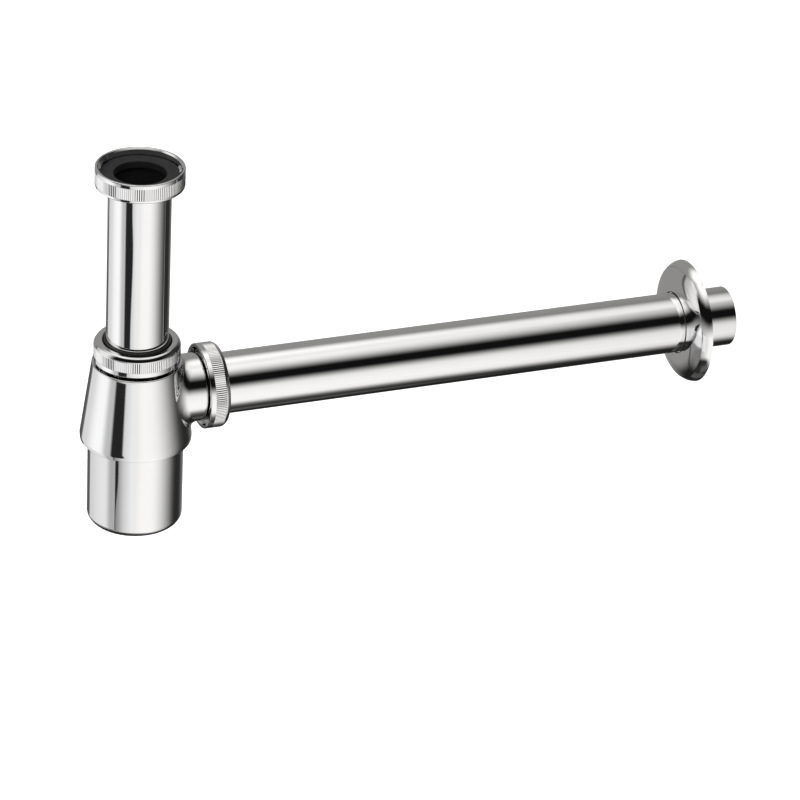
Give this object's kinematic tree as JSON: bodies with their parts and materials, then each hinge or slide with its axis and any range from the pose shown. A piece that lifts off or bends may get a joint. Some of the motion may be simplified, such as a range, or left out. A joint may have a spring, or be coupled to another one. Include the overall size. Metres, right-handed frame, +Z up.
{
  "type": "bottle trap",
  "caption": "Chromed bottle trap for a washbasin: union nut inlet on a telescopic dip tube, conical body, screw-off cup, straight outlet tube and sliding wall flange.",
  "frame": {"origin": "centre of the top face of the inlet washer, where the tail of the basin waste seats, on the inlet thread's axis", "axes": "+Z up the inlet axis towards the basin, +X along the outlet tube towards the wall, +Y across; symmetric about the XZ plane"},
  "size_m": [0.3582, 0.0658, 0.201],
  "materials": {
    "chrome_brass": "polished chrome plate on brass",
    "black_rubber": "matt black moulded rubber",
    "slip_ring_plastic": "satin black nylon"
  },
  "bodies": {
    "body": {"trap_body": "chrome_brass"},
    "neck_ring": {"neck_slip_ring": "slip_ring_plastic"},
    "neck_nut": {"neck_nut": "chrome_brass"},
    "inlet_swivel": {"neck_seal": "black_rubber"},
    "inlet": {"inlet_tube": "chrome_brass", "inlet_washer": "black_rubber"},
    "inlet_nut": {"inlet_nut": "chrome_brass"},
    "outlet_ring": {"outlet_slip_ring": "slip_ring_plastic"},
    "outlet_nut": {"outlet_nut": "chrome_brass"},
    "outlet_swivel": {"outlet_seal": "black_rubber"},
    "outlet": {"outlet_tube": "chrome_brass"},
    "flange": {"wall_flange": "chrome_brass"},
    "cup_ring": {"cup_seal": "black_rubber"},
    "cup": {"cup": "chrome_brass"}
  },
  "joints": [
    {"name": "neck_ring_lift", "type": "slide", "parent": "body", "child": "neck_ring", "axis": [0, 0, 1], "range_m": [0, 0.00577]},
    {"name": "neck_nut_turn", "type": "hinge", "parent": "neck_ring", "child": "neck_nut", "pos_m": [0, 0, 0], "axis": [0, 0, 1], "range_deg": [0, 900]},
    {"name": "inlet_turn", "type": "hinge", "parent": "body", "child": "inlet_swivel", "pos_m": [0, 0, 0], "axis": [0, 0, 1], "continuous": true},
    {"name": "inlet_height", "type": "slide", "parent": "inlet_swivel", "child": "inlet", "axis": [0, 0, 1], "range_m": [-0.014, 0.02]},
    {"name": "inlet_nut_turn", "type": "hinge", "parent": "inlet", "child": "inlet_nut", "pos_m": [0, 0, 0], "axis": [0, 0, 1], "continuous": true},
    {"name": "outlet_ring_shift", "type": "slide", "parent": "body", "child": "outlet_ring", "axis": [1, 0, 0], "range_m": [0, 0.00577]},
    {"name": "outlet_nut_turn", "type": "hinge", "parent": "outlet_ring", "child": "outlet_nut", "pos_m": [0, 0, -0.1258], "axis": [1, 0, 0], "range_deg": [0, 900]},
    {"name": "outlet_turn", "type": "hinge", "parent": "body", "child": "outlet_swivel", "pos_m": [0, 0, -0.1258], "axis": [1, 0, 0], "continuous": true},
    {"name": "outlet_reach", "type": "slide", "parent": "outlet_swivel", "child": "outlet", "axis": [1, 0, 0], "range_m": [-0.01, 0.006]},
    {"name": "flange_slide", "type": "slide", "parent": "outlet", "child": "flange", "axis": [1, 0, 0], "range_m": [-0.24, 0.0215]},
    {"name": "cup_ring_drop", "type": "slide", "parent": "body", "child": "cup_ring", "axis": [0, 0, -1], "range_m": [0, 0.00399]},
    {"name": "cup_turn", "type": "hinge", "parent": "cup_ring", "child": "cup", "pos_m": [0, 0, 0], "axis": [0, 0, -1], "range_deg": [0, 720]}
  ],
  "couplings": [
    {"joint": "neck_nut_turn", "follows": "neck_ring_lift", "rad_per_m": 2721.2},
    {"joint": "outlet_nut_turn", "follows": "outlet_ring_shift", "rad_per_m": 2721.2},
    {"joint": "cup_turn", "follows": "cup_ring_drop", "rad_per_m": 3141.6}
  ]
}
